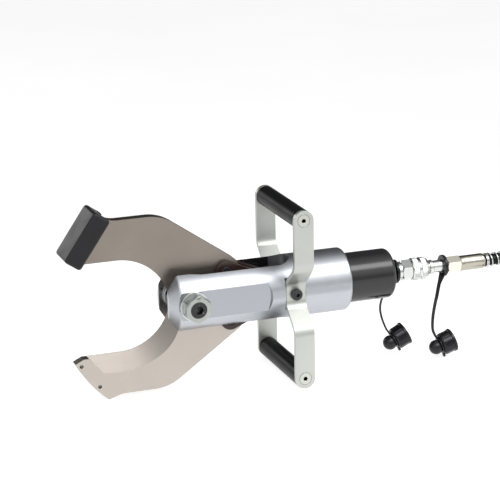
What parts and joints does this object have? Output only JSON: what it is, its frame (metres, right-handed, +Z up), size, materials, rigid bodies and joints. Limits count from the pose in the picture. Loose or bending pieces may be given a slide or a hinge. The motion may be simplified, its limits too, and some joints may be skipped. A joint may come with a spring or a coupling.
{
  "type": "hydraulic cable cutter",
  "caption": "Hydraulic two-blade cable cutter head with a crescent jaw, a handle frame, a cylinder, and a hose with a screw coupler and dust caps.",
  "frame": {"origin": "under the middle of the tool's box, on the surface it stands on", "axes": "+X from the blades towards the hose, +Y across the tool, +Z up"},
  "size_m": [0.792, 0.226, 0.2376],
  "materials": {
    "satin_body": "satin plated steel, turned and milled",
    "black_barrel": "black enamel, satin",
    "blade_steel": "ground tool steel with a bright edge",
    "bar_plating": "pale plated strip, satin",
    "machine_steel": "machined steel, oiled",
    "bright_zinc": "bright zinc plate",
    "yellow_zinc": "pale yellow zinc plate",
    "black_oxide": "black oxide, lightly oiled",
    "link_brown": "dark red-brown finish",
    "bearing_bronze": "bearing bronze",
    "guard_plastic": "black moulded plastic",
    "grip_rubber": "black moulded rubber",
    "cap_rubber": "black flexible plastic",
    "hose_rubber": "black hose cover",
    "seal_rubber": "nitrile seal"
  },
  "bodies": {
    "frame": {"yoke_body": "satin_body", "barrel": "black_barrel", "barrel_o_ring": "seal_rubber", "rod_guide": "bearing_bronze", "return_spring": "machine_steel", "pivot_bushing": "bearing_bronze", "pivot_bolt": "black_oxide", "pivot_nut": "bright_zinc", "washer_near": "bright_zinc", "washer_far": "bright_zinc", "thrust_washer_near": "bright_zinc", "thrust_washer_far": "bright_zinc", "handle_bar_far": "bar_plating", "handle_bar_near": "bar_plating", "handle_centre_screw_far": "black_oxide", "handle_centre_screw_near": "black_oxide", "handle_rod_upper": "machine_steel", "handle_grip_upper": "grip_rubber", "handle_end_screw_upper_far": "bright_zinc", "handle_end_screw_upper_near": "bright_zinc", "handle_rod_lower": "machine_steel", "handle_grip_lower": "grip_rubber", "handle_end_screw_lower_far": "bright_zinc", "handle_end_screw_lower_near": "bright_zinc", "port_adaptor": "black_oxide", "coupler_socket": "bright_zinc", "coupler_plug": "bright_zinc", "hose_hex": "yellow_zinc", "hose_ferrule": "yellow_zinc", "hose_spring_guard": "bright_zinc", "hose_lead": "hose_rubber", "hose_coil": "hose_rubber", "hose_far_ferrule": "yellow_zinc", "hose_far_fitting": "bright_zinc"},
    "upper_jaw": {"upper_blade": "blade_steel", "tip_guard": "guard_plastic", "tip_guard_screw_1": "black_oxide", "tip_guard_screw_2": "black_oxide"},
    "lower_jaw": {"lower_blade": "blade_steel"},
    "upper_links": {"upper_link_near": "link_brown", "upper_link_far": "link_brown", "upper_tail_pin": "black_oxide"},
    "lower_links": {"lower_link_near": "link_brown", "lower_link_far": "link_brown", "lower_tail_pin": "black_oxide"},
    "ram": {"piston": "machine_steel", "piston_seal": "seal_rubber", "piston_wear_ring": "bearing_bronze", "piston_rod": "machine_steel", "crosshead": "machine_steel", "crosshead_pin": "machine_steel"},
    "collar": {"coupler_sleeve": "bright_zinc"},
    "cap_1": {"dust_cap_strap_1": "cap_rubber", "dust_cap_1": "cap_rubber"},
    "cap_2": {"dust_cap_strap_2": "cap_rubber", "dust_cap_2": "cap_rubber"}
  },
  "joints": [
    {"name": "upper_jaw_hinge", "type": "hinge", "parent": "frame", "child": "upper_jaw", "pos_m": [-0.1225, 0, 0.112], "axis": [0, -1, 0], "range_deg": [0, 44], "stiffness_Nm_per_rad": 4, "springref_deg": -80.21},
    {"name": "lower_jaw_hinge", "type": "hinge", "parent": "frame", "child": "lower_jaw", "pos_m": [-0.1225, 0, 0.112], "axis": [0, 1, 0], "range_deg": [0, 44.2]},
    {"name": "upper_links_hinge", "type": "hinge", "parent": "upper_jaw", "child": "upper_links", "pos_m": [-0.0709, 0, 0.1403], "axis": [0, 1, 0], "range_deg": [0, 67.8]},
    {"name": "lower_links_hinge", "type": "hinge", "parent": "lower_jaw", "child": "lower_links", "pos_m": [-0.0709, 0, 0.0837], "axis": [0, -1, 0], "range_deg": [0, 67.8]},
    {"name": "ram_slide", "type": "slide", "parent": "frame", "child": "ram", "axis": [-1, 0, 0], "range_m": [0, 0.0511]},
    {"name": "collar_turn", "type": "hinge", "parent": "frame", "child": "collar", "pos_m": [0.1855, 0, 0.112], "axis": [1, 0, 0], "continuous": true},
    {"name": "cap_1_swing", "type": "hinge", "parent": "frame", "child": "cap_1", "pos_m": [0.1605, 0, 0.112], "axis": [1, 0, 0], "range_deg": [-45, 45]},
    {"name": "cap_2_swing", "type": "hinge", "parent": "frame", "child": "cap_2", "pos_m": [0.2217, 0, 0.112], "axis": [-1, 0, 0], "range_deg": [0, 60]}
  ],
  "couplings": [
    {"joint": "lower_jaw_hinge", "follows": "upper_jaw_hinge", "ratio": 1},
    {"joint": "upper_links_hinge", "follows": "upper_jaw_hinge", "ratio": 1.5329},
    {"joint": "lower_links_hinge", "follows": "upper_jaw_hinge", "ratio": 1.5329},
    {"joint": "ram_slide", "follows": "upper_jaw_hinge", "m_per_rad": 0.06605}
  ]
}
